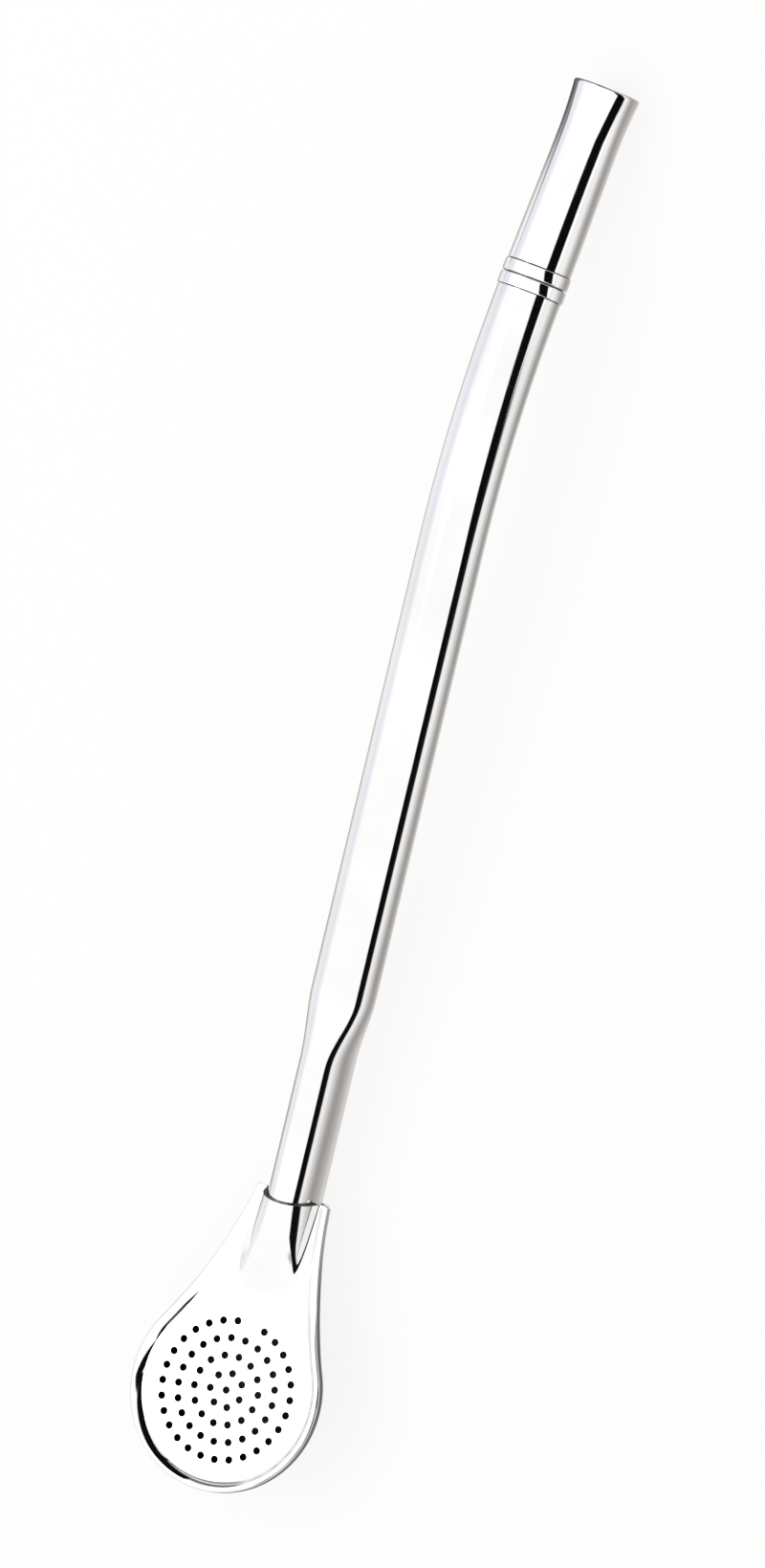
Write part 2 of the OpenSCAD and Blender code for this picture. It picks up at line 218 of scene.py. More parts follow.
class StrainerSizes(bpy.types.PropertyGroup):
    """Sizes of the strainer: plate, bowl, rim and perforations"""
    head_r: length("Head radius", "Radius of the round end", 12.5)
    neck_len: length("Neck length", "Distance from the middle of the round end to the collar", 25)
    side_r: length("Side radius", "Radius of the hollow sides", 60)
    sheet: length("Sheet", "Thickness of the plate and the bowl", 0.5)
    neck_run: length("Neck run", "Distance from the collar to the half-neck's end on the plate", 13.5)
    neck_flare: length("Neck flare", "Width that the half-neck gains on each side on the way", 0.6)
    satin_ease: length("Satin ease", "Length over which the neck's polish turns satin", 4)
    neck_gap: length("Neck gap", "Gap between the stem's oval end and the neck", 0.1)
    wall_gap: length("Wall gap", "Gap between the rim's inner edge and the bowl's wall", 0.05)
    belly_flat: length("Belly flat", "Depth of the flat pressed on the belly", 0.25)
    belly_at: length("Belly place", "Distance of the flat from the middle of the round end", 12.5)
    rim_w: length("Rim width", "Width of the bead seen from the front", 1.35)
    rim_wall: length("Rim wall", "Height of the bead above the plate, round the head", 0.75)
    rim_low: length("Rim low", "Height of the bead above the plate, along the neck", 0.3)
    rim_fade_from: length("Rim fade start", "Distance from the head's middle where the bead sinks", 8)
    rim_fade_to: length("Rim fade end", "Distance from the head's middle where the bead is low", 13.5)
    rim_under: length("Rim under", "Wall of the bead below the bowl's flange", 0.3)
    rim_foot: angle("Rim foot slope", "Slope of the bead's inner side at the plate", 54)
    rim_brow: angle("Rim brow slope", "Slope of the bead's inner side at its top", 32)
    rim_round: length("Rim round", "Radius of the bead's upper outer edge", 0.45)
    rim_heel: length("Rim heel", "Radius of the bead's lower outer edge", 0.9)
    rim_bite: length("Rim bite", "Depth of the flanges' bite in the rim", 0.9)
    rim_gap: length("Rim gap", "Gap between the flanges' edge and the rim's slot", 0.05)
    hole_d: length("Hole", "Diameter of each hole", 0.95)
    hole_pitch: length("Hole pitch", "Distance between the rings of holes", 2.13)
    hole_rings: copies("Hole rings", "Rings of holes round the middle one", 4, MOST_RINGS)
    hole_step: copies("Hole step", "Holes in the first ring, and added in each further ring", 7, 8)
    hole_turn: angle("Hole turn", "Turn of the pattern about its middle", -2.5)


class Finish(bpy.types.PropertyGroup):
    """Colours of the steel and of the stage"""
    tube_steel: colour("Tube steel", "Colour of the polished tube", (0.90, 0.90, 0.905))
    bright_steel: colour("Bright steel", "Colour of the mouthpiece, rings and rim", (0.92, 0.92, 0.925))
    pressed_steel: colour("Pressed steel", "Colour of the pressed plate and bowl", (0.90, 0.895, 0.89))
    # Painted shade: the strainer's inside, hole walls and edges get this near black colour for the shade
    # that falls there; only their higher roughness is an unpolished finish
    inside_painted_shade: colour("Inside steel", "Colour of the strainer's unpolished inside", (0.07, 0.068, 0.066))
    floor: colour("Floor", "Colour of the floor", (0.97, 0.965, 0.955))


def turn(a):
    """Unit vector at an angle in radians"""
    return Vector((math.cos(a), math.sin(a)))


def eased(t):
    """Smooth step from 0 to 1"""
    t = min(1.0, max(0.0, t))
    return t * t * (3 - 2 * t)


def rounded(corners, steps=8):
    """Points of a closed outline whose corners (x, y, radius) are rounded"""
    points = []
    for i, (x, y, radius) in enumerate(corners):
        here = Vector((x, y))
        before = (Vector(corners[i - 1][:2]) - here).normalized()
        after = (Vector(corners[(i + 1) % len(corners)][:2]) - here).normalized()
        half = before.angle(after) / 2
        if radius == 0 or half > FLAT_CORNER:
            points.append((x, y))
            continue
        centre = here + (before + after).normalized() * radius / math.sin(half)
        start = here + before * radius / math.tan(half) - centre
        sweep = start.angle_signed(here + after * radius / math.tan(half) - centre)
        for k in range(steps + 1):
            a = -sweep * k / steps
            points.append((centre.x + start.x * math.cos(a) - start.y * math.sin(a),
                           centre.y + start.x * math.sin(a) + start.y * math.cos(a)))
    return points


class Layout:
    """The straw's side view and the strainer's outline, worked out from the sizes.
    The strainer's frame has x from the round end's middle to the collar, and z from the flange plane."""

    def __init__(self, scene):
        s = scene.straw_stem
        t = scene.straw_strainer
        self.s = s
        self.t = t
        self.tube_r = s.tube_d / 2
        self.bore_r = self.tube_r - s.tube_wall
        self.upper_angle = s.stem_rise - s.bend_angle
        self.mouth_at = 2 * s.ring_len
        bend_start = Vector((t.neck_len, 0)) + s.lower_run * turn(s.stem_rise)
        bend_centre = bend_start - s.bend_r * turn(s.stem_rise + math.pi / 2)
        self.bend_end = bend_centre + s.bend_r * turn(self.upper_angle + math.pi / 2)
        lip_r = self.tube_r + s.lip_rise
        lip = (self.bend_end + (self.mouth_at + s.mouth_len - s.lip_round) * turn(self.upper_angle)
               - (lip_r - s.lip_round) * turn(self.upper_angle + math.pi / 2))
        self.oval_seat = (s.oval_w / 2 + t.neck_gap, s.oval_depth / 2 + t.neck_gap)
        self.flange_w = t.rim_w + t.wall_gap + t.sheet
        corner = Vector((t.neck_len, self.oval_seat[0] + self.flange_w))
        reach = t.head_r + t.side_r
        pull = (t.head_r * t.head_r + 2 * t.head_r * t.side_r + corner.length_squared) / 2 / corner.length
        unit = corner.normalized()
        self.side_centre = pull * unit + math.sqrt(reach * reach - pull * pull) * Vector((-unit.y, unit.x))
        self.side_angle = math.atan2(self.side_centre.y, self.side_centre.x)
        self.stem_end = t.neck_len - s.stem_insert * math.cos(s.stem_rise)
        self.belly = Vector((t.belly_at, t.belly_flat - t.sheet - self.bowl_depth(t.belly_at)))
        away = lip - self.belly
        self.lie = math.atan2(away.y, away.x) - math.asin(s.lip_round / away.length)

    def half_width(self, x, inset):
        """Half the strainer's width at x, drawn in by inset from the rim's outer edge"""
        t = self.t
        if x > (t.head_r - inset) * math.cos(self.side_angle):
            return self.side_centre.y - math.sqrt((t.side_r + inset) ** 2 - (x - self.side_centre.x) ** 2)
        return math.sqrt(max(0.0, (t.head_r - inset) ** 2 - x * x))

    def stem_depth(self, x):
        """Depth of the neck's hollow, which follows the stem"""
        rise = self.s.stem_rise
        return self.oval_seat[1] / math.cos(rise) + (self.t.neck_len - x) * math.tan(rise)

    def bowl_depth(self, x):
        """Depth of the bowl's hollow, which follows the stem and then levels out"""
        if x > self.stem_end:
            return self.stem_depth(x)
        level = math.tan(self.s.stem_rise) * (self.stem_end ** 2 - x ** 2) / (2 * self.stem_end)
        return self.stem_depth(self.stem_end) + level

    def surface_z(self, x):
        """Height of the surface that the straw lies on"""
        return self.belly.y + (x - self.belly.x) * math.tan(self.lie)

    def lying(self):
        """From the strainer's frame to the resting frame"""
        return (Matrix.Rotation(self.lie, 4, "Y")
                @ Matrix.Translation((-self.belly.x, 0, -self.belly.y)))

    def on_stem(self):
        """From a frame on the stem's axis at the collar, with X up the stem, to the resting frame"""
        return (self.lying() @ Matrix.Translation((self.t.neck_len, 0, 0))
                @ Matrix.Rotation(-self.s.stem_rise, 4, "Y"))

    def past_bend(self):
        """From a frame on the axis at the end of the bend, with X towards the lip, to the resting frame"""
        return (self.lying() @ Matrix.Translation((self.bend_end.x, 0, self.bend_end.y))
                @ Matrix.Rotation(-self.upper_angle, 4, "Y"))


def group_tree(name, kind, inputs, outputs):
    """A new node group with named sockets, and its input and output nodes"""
    tree = bpy.data.node_groups.new(name, kind)
    for label, socket, default in inputs:
        made = tree.interface.new_socket(label, in_out="INPUT", socket_type=socket)
        if default is not None:
            made.default_value = default
    for label, socket in outputs:
        tree.interface.new_socket(label, in_out="OUTPUT", socket_type=socket)
    return tree, tree.nodes.new("NodeGroupInput"), tree.nodes.new("NodeGroupOutput")


def wire(tree, source, node, name):
    """Links a socket, or sets a plain value, on an input given by its name or number"""
    target = node.inputs[name]
    if isinstance(source, bpy.types.NodeSocket):
        tree.links.new(source, target)
    else:
        target.default_value = source


def add_node(tree, kind, settings=None, **inputs):
    """A new node with its settings and its inputs, whose names take _ for a space"""
    node = tree.nodes.new(kind)
    for key, value in (settings or {}).items():
        setattr(node, key, value)
    for key, value in inputs.items():
        wire(tree, value, node, key.replace("_", " "))
    return node


def sums(tree, operation, *values):
    """The result of a Math node"""
    node = tree.nodes.new("ShaderNodeMath")
    node.operation = operation
    for i, value in enumerate(values):
        wire(tree, value, node, i)
    return node.outputs[0]


def blend_range(tree, value, low, high, to_low, to_high, kind="SMOOTHSTEP"):
    """The result of a Map Range node"""
    node = add_node(tree, "ShaderNodeMapRange", {"interpolation_type": kind})
    for i, v in enumerate((value, low, high, to_low, to_high)):
        wire(tree, v, node, i)
    return node.outputs[0]


def parts_of(tree, vector):
    """The X, Y and Z of a vector"""
    return add_node(tree, "ShaderNodeSeparateXYZ", Vector=vector).outputs[:3]


def mixed(tree, amount, before, after):
    """The result of a Mix node for colours"""
    node = add_node(tree, "ShaderNodeMix", {"data_type": "RGBA"})
    wire(tree, amount, node, 0)
    wire(tree, before, node, 6)
    wire(tree, after, node, 7)
    return node.outputs[2]


def dimmed(tree, before, amount):
    """A colour scaled by an amount"""
    node = add_node(tree, "ShaderNodeVectorMath", {"operation": "SCALE"}, Scale=amount)
    wire(tree, before, node, 0)
    return node.outputs[0]


def compared(tree, operation, one, other):
    """Whether two whole numbers compare as the operation says"""
    node = add_node(tree, "FunctionNodeCompare", {"data_type": "INT", "operation": operation})
    wire(tree, one, node, 2)
    wire(tree, other, node, 3)
    return node.outputs[0]


def logic(tree, operation, one, other):
    """The result of a Boolean Math node"""
    node = add_node(tree, "FunctionNodeBooleanMath", {"operation": operation})
    wire(tree, one, node, 0)
    wire(tree, other, node, 1)
    return node.outputs[0]


def finish_tree(tree, geometry, group_in, group_out):
    """Ends a tree in Realize Instances and Set Material"""
    real = add_node(tree, "GeometryNodeRealizeInstances", Geometry=geometry)
    painted = add_node(tree, "GeometryNodeSetMaterial", Geometry=real.outputs[0],
                       Material=group_in.outputs["Material"])
    tree.links.new(painted.outputs[0], group_out.inputs[0])


def grown(name, base, tree, values):
    """The plain mesh that a node tree makes from a base mesh"""
    obj = bpy.data.objects.new(name, base)
    bpy.context.collection.objects.link(obj)
    modifier = obj.modifiers.new(name, "NODES")
    modifier.node_group = tree
    for item in tree.interface.items_tree:
        if item.item_type == "SOCKET" and item.in_out == "INPUT" and item.name in values:
            modifier[item.identifier] = values[item.name]
    evaluated = obj.evaluated_get(bpy.context.evaluated_depsgraph_get())
    mesh = bpy.data.meshes.new_from_object(evaluated)
    obj.modifiers.remove(modifier)
    bpy.data.objects.remove(obj)
    if not mesh.polygons:
        raise RuntimeError(name + " came out of its node tree empty")
    mesh.name = name
    return mesh


def edge_mesh(name, points, chains):
    """A mesh of bare edges: each chain is a start, an end and whether it closes"""
    mesh = bpy.data.meshes.new(name)
    edges = []
    for start, end, closed in chains:
        edges += [(i, i + 1) for i in range(start, end - 1)]
        if closed:
            edges.append((end - 1, start))
    mesh.from_pydata(points, edges, [])
    return mesh


def sheet_faces(rows, columns):
    """Faces of a grid of points, in rows"""
    faces = []
    for r in range(rows - 1):
        for c in range(columns - 1):
            a = r * columns + c
            faces.append((a, a + 1, a + columns + 1, a + columns))
    return faces


def turned(name, profile, place, segments=128):
    """A closed half section (radius, distance along X), turned about X and put in its place"""
    points = []
    n = len(profile)
    for i in range(segments):
        a = 2 * math.pi * i / segments
        points += [place @ Vector((x, r * math.cos(a), r * math.sin(a))) for r, x in profile]
    faces = []
    for i in range(segments):
        for k in range(n):
            a, b = i * n, ((i + 1) % segments) * n
            faces.append((a + k, a + (k + 1) % n, b + (k + 1) % n, b + k))
    mesh = bpy.data.meshes.new(name)
    mesh.from_pydata(points, [], faces)
    return mesh


def walled(mesh, thickness):
    """Gives an open sheet its thickness, on the side that its normals point away from"""
    obj = bpy.data.objects.new(mesh.name, mesh)
    bpy.context.collection.objects.link(obj)
    solid = obj.modifiers.new("Wall", "SOLIDIFY")
    solid.thickness = thickness
    solid.offset = -1.0
    solid.use_even_offset = True
    # The inner faces and the rim faces, such as the hole walls, take the last material, which on the plate
    # is its painted shade
    solid.material_offset = len(mesh.materials) - 1
    solid.material_offset_rim = len(mesh.materials) - 1
    evaluated = obj.evaluated_get(bpy.context.evaluated_depsgraph_get())
    made = bpy.data.meshes.new_from_object(evaluated)
    bpy.data.objects.remove(obj)
    made.name = mesh.name
    return made


def tidied(mesh, recalculate=True, merge=MERGE):
    """Merges doubled points, points the faces outwards and shades them smooth between sharp edges"""
    bm = bmesh.new()
    bm.from_mesh(mesh)
    bmesh.ops.remove_doubles(bm, verts=bm.verts, dist=merge)
    bmesh.ops.dissolve_degenerate(bm, edges=bm.edges, dist=merge)
    if recalculate:
        bmesh.ops.recalc_face_normals(bm, faces=bm.faces)
    bm.to_mesh(mesh)
    bm.free()
    mesh.shade_smooth()
    mesh.set_sharp_from_angle(angle=SHARP_ANGLE)
    return mesh


def face_out(mesh):
    """Turns an open sheet, symmetric about the XZ plane, so that its sides face away from that plane"""
    pull = sum(p.normal.y * p.center.y * p.area for p in mesh.polygons)
    if pull < 0:
        mesh.flip_normals()
    return mesh


def clothed(mesh, *materials):
    """Gives a mesh its materials"""
    mesh.materials.clear()
    for material in materials:
        mesh.materials.append(material)
    return mesh


def place_piece(mesh, body, node):
    """Puts a finished mesh in the scene in place of its CAD node"""
    piece = bpy.data.objects.new(node + "_polished", mesh)
    bpy.context.collection.objects.link(piece)
    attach(piece, body)
    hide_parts(node)
    return piece


def polish_group():
    """Shared node group: fine buffing lines along the straw and a soft handling haze"""
    name = "Buffed Polish"
    if name in bpy.data.node_groups:
        return bpy.data.node_groups[name]
    tree, start, end = group_tree(
        name, "ShaderNodeTree",
        [("Vector", "NodeSocketVector", None), ("Line Scale", "NodeSocketFloat", 2600.0),
         ("Line Stretch", "NodeSocketVector", (0.02, 1.0, 1.0)), ("Haze Scale", "NodeSocketFloat", 70.0),
         ("Smooth", "NodeSocketFloat", 0.04), ("Worn", "NodeSocketFloat", 0.1)],
        [("Roughness", "NodeSocketFloat"), ("Height", "NodeSocketFloat"), ("Haze", "NodeSocketFloat")])
    given = start.outputs
    stretched = add_node(tree, "ShaderNodeVectorMath", {"operation": "MULTIPLY"})
    wire(tree, given["Vector"], stretched, 0)
    wire(tree, given["Line Stretch"], stretched, 1)
    lines = add_node(tree, "ShaderNodeTexNoise", Vector=stretched.outputs[0],
                     Scale=given["Line Scale"], Detail=3.0)
    haze = add_node(tree, "ShaderNodeTexNoise", Vector=given["Vector"],
                    Scale=given["Haze Scale"], Detail=4.0, Roughness=0.6)
    film = blend_range(tree, haze.outputs["Fac"], *HAZE_RANGE, 0.0, 1.0)
    fine = blend_range(tree, lines.outputs["Fac"], *LINE_RANGE, 0.0, 1.0)
    both = sums(tree, "MULTIPLY_ADD", fine, LINE_SHARE, sums(tree, "MULTIPLY", film, 1.0 - LINE_SHARE))
    rough = blend_range(tree, both, 0.0, 1.0, given["Smooth"], given["Worn"], "LINEAR")
    tree.links.new(rough, end.inputs["Roughness"])
    tree.links.new(lines.outputs["Fac"], end.inputs["Height"])
    tree.links.new(film, end.inputs["Haze"])
    return tree


def tint_group():
    """Shared node group: the steel's colour, a little duller where it has been handled"""
    name = "Handled Steel Tint"
    if name in bpy.data.node_groups:
        return bpy.data.node_groups[name]
    tree, start, end = group_tree(
        name, "ShaderNodeTree",
        [("Steel", "NodeSocketColor", (0.9, 0.9, 0.9, 1.0)), ("Haze", "NodeSocketFloat", 0.0),
         ("Dulling", "NodeSocketFloat", 0.05)],
        [("Color", "NodeSocketColor")])
    dulled = sums(tree, "MULTIPLY", start.outputs["Haze"], start.outputs["Dulling"])
    left = sums(tree, "SUBTRACT", 1.0, dulled)
    tree.links.new(dimmed(tree, start.outputs["Steel"], left), end.inputs["Color"])
    return tree


def steel_material(name, rgb, satin=None):
    """Polished stainless steel with the finish of that name. Satin is where along X the polish begins
    and where it is full"""
    smooth, worn, stretch, strength = POLISH[name]
    material = bpy.data.materials.new(name)
    material.use_nodes = True
    tree = material.node_tree
    shader = tree.nodes["Principled BSDF"]
    shader.inputs["Metallic"].default_value = 1.0
    place = tree.nodes.new("ShaderNodeTexCoord").outputs["Object"]
    polish = add_node(tree, "ShaderNodeGroup", {"node_tree": polish_group()}, Vector=place,
                      Line_Stretch=stretch, Smooth=smooth, Worn=worn)
    if satin:
        along = parts_of(tree, place)[0]
        wire(tree, blend_range(tree, along, *satin, SATIN_SMOOTH, smooth), polish, "Smooth")
        wire(tree, blend_range(tree, along, *satin, SATIN_WORN, worn), polish, "Worn")
    tint = add_node(tree, "ShaderNodeGroup", {"node_tree": tint_group()}, Steel=(*rgb, 1.0),
                    Haze=polish.outputs["Haze"])
    lines = add_node(tree, "ShaderNodeBump", Strength=strength, Distance=LINE_DEPTH,
                     Height=polish.outputs["Height"])
    tree.links.new(tint.outputs["Color"], shader.inputs["Base Color"])
    tree.links.new(polish.outputs["Roughness"], shader.inputs["Roughness"])
    tree.links.new(lines.outputs["Normal"], shader.inputs["Normal"])
    return material


def bent_tube_tree():
    """Node tree of the stem: a straight tube, made oval at its foot, then bent and put in its place"""
    sizes = ["Tube Radius", "Oval Width", "Oval Depth", "Oval Run", "Oval Ease", "Insert", "Lower Run",
             "Bend Radius", "Bend Angle"]
    tree, start, end = group_tree(
        "Bent Straw Tube", "GeometryNodeTree",
        [("Geometry", "NodeSocketGeometry", None)] + [(s, "NodeSocketFloat", None) for s in sizes]
        + [("Rows", "NodeSocketInt", 240), ("Sides", "NodeSocketInt", 112),
           ("Place", "NodeSocketVector", None), ("Turn", "NodeSocketVector", None),
           ("Material", "NodeSocketMaterial", None)],
        [("Geometry", "NodeSocketGeometry")])
    size = start.outputs
    arc = sums(tree, "MULTIPLY", size["Bend Radius"], size["Bend Angle"])
    run_end = sums(tree, "ADD", size["Lower Run"], arc)
    foot = add_node(tree, "ShaderNodeCombineXYZ", X=sums(tree, "MULTIPLY", size["Insert"], -1.0))
    tip = add_node(tree, "ShaderNodeCombineXYZ", X=run_end)
    line = add_node(tree, "GeometryNodeCurvePrimitiveLine", Start=foot.outputs[0], End=tip.outputs[0])
    rows = add_node(tree, "GeometryNodeResampleCurve", Curve=line.outputs[0], Count=size["Rows"])
    circle = add_node(tree, "GeometryNodeCurvePrimitiveCircle", Resolution=size["Sides"], Radius=1.0)
    tube = add_node(tree, "GeometryNodeCurveToMesh", Curve=rows.outputs[0])
    tree.links.new(circle.outputs[0], tube.inputs["Profile Curve"])
    along, across, depth = parts_of(tree, tree.nodes.new("GeometryNodeInputPosition").outputs[0])
    eased_to = sums(tree, "ADD", size["Oval Run"], size["Oval Ease"])
    half_w = blend_range(tree, along, size["Oval Run"], eased_to,
                         sums(tree, "MULTIPLY", size["Oval Width"], 0.5), size["Tube Radius"])
    half_d = blend_range(tree, along, size["Oval Run"], eased_to,
                         sums(tree, "MULTIPLY", size["Oval Depth"], 0.5), size["Tube Radius"])
    bend = blend_range(tree, along, size["Lower Run"], run_end, 0.0, size["Bend Angle"], "LINEAR")
    reach = sums(tree, "MULTIPLY_ADD", depth, half_d, size["Bend Radius"])
    straight = sums(tree, "MINIMUM", along, size["Lower Run"])
    x = sums(tree, "MULTIPLY_ADD", reach, sums(tree, "SINE", bend), straight)
    y = sums(tree, "MULTIPLY", across, half_w)
    risen = sums(tree, "MULTIPLY", reach, sums(tree, "COSINE", bend))
    z = sums(tree, "SUBTRACT", risen, size["Bend Radius"])
    shaped = add_node(tree, "ShaderNodeCombineXYZ", X=x, Y=y, Z=z)
    moved = add_node(tree, "GeometryNodeSetPosition", Geometry=tube.outputs[0], Position=shaped.outputs[0])
    placed = add_node(tree, "GeometryNodeTransform", Geometry=moved.outputs[0], Translation=size["Place"],
                      Rotation=size["Turn"])
    finish_tree(tree, placed.outputs[0], start, end)
    return tree


def perforation_tree():
    """Node tree of the plate's round end: rings of round holes in a filled outline, with the outermost
    ring's first place left blank"""
    tree, start, end = group_tree(
        "Perforated Plate", "GeometryNodeTree",
        [("Geometry", "NodeSocketGeometry", None), ("Hole Radius", "NodeSocketFloat", None),
         ("Pitch", "NodeSocketFloat", None), ("Rings", "NodeSocketInt", MOST_RINGS),
         ("Step", "NodeSocketInt", 7),
         ("Turn", "NodeSocketFloat", None), ("Height", "NodeSocketFloat", None),
         ("Material", "NodeSocketMaterial", None)],
        [("Geometry", "NodeSocketGeometry")])
    size = start.outputs
    holes = tree.nodes.new("GeometryNodeJoinGeometry")
    middle = add_node(tree, "GeometryNodePoints", Count=1)
    tree.links.new(middle.outputs[0], holes.inputs[0])
    for ring in range(1, MOST_RINGS + 1):
        count = sums(tree, "MULTIPLY", size["Step"], float(ring))
        radius = sums(tree, "MULTIPLY", size["Pitch"], float(ring))
        round_of_holes = add_node(tree, "GeometryNodeMeshCircle", Vertices=count, Radius=radius)
        first = compared(tree, "EQUAL", tree.nodes.new("GeometryNodeInputIndex").outputs[0], 0)
        outermost = compared(tree, "EQUAL", ring, size["Rings"])
        beyond = compared(tree, "GREATER_THAN", ring, size["Rings"])
        unwanted = logic(tree, "OR", logic(tree, "AND", first, outermost), beyond)
        kept = add_node(tree, "GeometryNodeDeleteGeometry", {"domain": "POINT"},
                        Geometry=round_of_holes.outputs[0], Selection=unwanted)
        tree.links.new(kept.outputs[0], holes.inputs[0])
    spin = add_node(tree, "ShaderNodeCombineXYZ", Z=size["Turn"])
    lift = add_node(tree, "ShaderNodeCombineXYZ", Z=size["Height"])
    pattern = add_node(tree, "GeometryNodeTransform", Geometry=holes.outputs[0], Rotation=spin.outputs[0],
                       Translation=lift.outputs[0])
    hole = add_node(tree, "GeometryNodeCurvePrimitiveCircle", Resolution=HOLE_SIDES,
                    Radius=size["Hole Radius"])
    punched = add_node(tree, "GeometryNodeInstanceOnPoints", Points=pattern.outputs[0],
                       Instance=hole.outputs[0])
    cut = add_node(tree, "GeometryNodeRealizeInstances", Geometry=punched.outputs[0])
    outline = add_node(tree, "GeometryNodeMeshToCurve", Mesh=size["Geometry"])
    edges = tree.nodes.new("GeometryNodeJoinGeometry")
    tree.links.new(outline.outputs[0], edges.inputs[0])
    tree.links.new(cut.outputs[0], edges.inputs[0])
    filled = add_node(tree, "GeometryNodeFillCurve", Curve=edges.outputs[0])
    raised = add_node(tree, "GeometryNodeSetPosition", Geometry=filled.outputs[0], Offset=lift.outputs[0])
    finish_tree(tree, raised.outputs[0], start, end)
    return tree


def bead_tree():
    """Node tree of the rim: a slotted bead section swept along the strainer's outline, lowered along
    the neck and put in its place"""
    tree, start, end = group_tree(
        "Rim Bead", "GeometryNodeTree",
        [("Geometry", "NodeSocketGeometry", None), ("Section Starts At", "NodeSocketInt", 0),
         ("Plate Height", "NodeSocketFloat", None), ("Fade Start", "NodeSocketFloat", None),
         ("Fade End", "NodeSocketFloat", None), ("Low Share", "NodeSocketFloat", 1.0),
         ("Place", "NodeSocketVector", None), ("Turn", "NodeSocketVector", None),
         ("Material", "NodeSocketMaterial", None)],
        [("Geometry", "NodeSocketGeometry")])
    size = start.outputs
    number = tree.nodes.new("GeometryNodeInputIndex").outputs[0]
    in_section = compared(tree, "GREATER_EQUAL", number, size["Section Starts At"])
    parts = add_node(tree, "GeometryNodeSeparateGeometry", {"domain": "POINT"}, Geometry=size["Geometry"],
                     Selection=in_section)
    section = add_node(tree, "GeometryNodeMeshToCurve", Mesh=parts.outputs["Selection"])
    path = add_node(tree, "GeometryNodeMeshToCurve", Mesh=parts.outputs["Inverted"])
    upright = add_node(tree, "GeometryNodeSetCurveNormal", {"mode": "Z_UP"}, Curve=path.outputs[0])
    swept = add_node(tree, "GeometryNodeCurveToMesh", Curve=upright.outputs[0], Fill_Caps=True)
    tree.links.new(section.outputs[0], swept.inputs["Profile Curve"])
    along, across, up = parts_of(tree, tree.nodes.new("GeometryNodeInputPosition").outputs[0])
    share = blend_range(tree, along, size["Fade Start"], size["Fade End"], 1.0, size["Low Share"])
    above = sums(tree, "MAXIMUM", sums(tree, "SUBTRACT", up, size["Plate Height"]), 0.0)
    below = sums(tree, "MINIMUM", up, size["Plate Height"])
    height = sums(tree, "MULTIPLY_ADD", above, share, below)
    lowered = add_node(tree, "ShaderNodeCombineXYZ", X=along, Y=across, Z=height)
    eased_down = add_node(tree, "GeometryNodeSetPosition", Geometry=swept.outputs[0],
                          Position=lowered.outputs[0])
    placed = add_node(tree, "GeometryNodeTransform", Geometry=eased_down.outputs[0],
                      Translation=size["Place"], Rotation=size["Turn"])
    finish_tree(tree, placed.outputs[0], start, end)
    return tree


def place_and_turn(matrix):
    """A matrix as the place and the turn that a node tree takes"""
    return tuple(matrix.to_translation()), tuple(matrix.to_euler())


class STRAW_OT_stem(bpy.types.Operator):
    """Builds the stem: a round tube, oval at its foot and bent near the mouthpiece"""
    bl_idname = "straw.stem"
    bl_label = "Stem"

    def execute(self, context):
        lay = Layout(context.scene)
        s = lay.s
        steel = steel_material("Tube Steel", context.scene.straw_finish.tube_steel)
        place, spin = place_and_turn(lay.on_stem())
        mesh = grown("stem_tube", bpy.data.meshes.new("stem_base"), bent_tube_tree(), {
            "Tube Radius": lay.tube_r, "Oval Width": s.oval_w, "Oval Depth": s.oval_depth,
            "Oval Run": s.oval_run, "Oval Ease": s.oval_ease, "Insert": s.stem_insert,
            "Lower Run": s.lower_run, "Bend Radius": s.bend_r, "Bend Angle": s.bend_angle,
            "Rows": 240, "Sides": 112, "Place": place, "Turn": spin, "Material": steel})
        mesh = walled(clothed(face_out(tidied(mesh)), steel), s.tube_wall)
        place_piece(tidied(mesh, recalculate=False), "stem", "stem_tube")
        return {"FINISHED"}


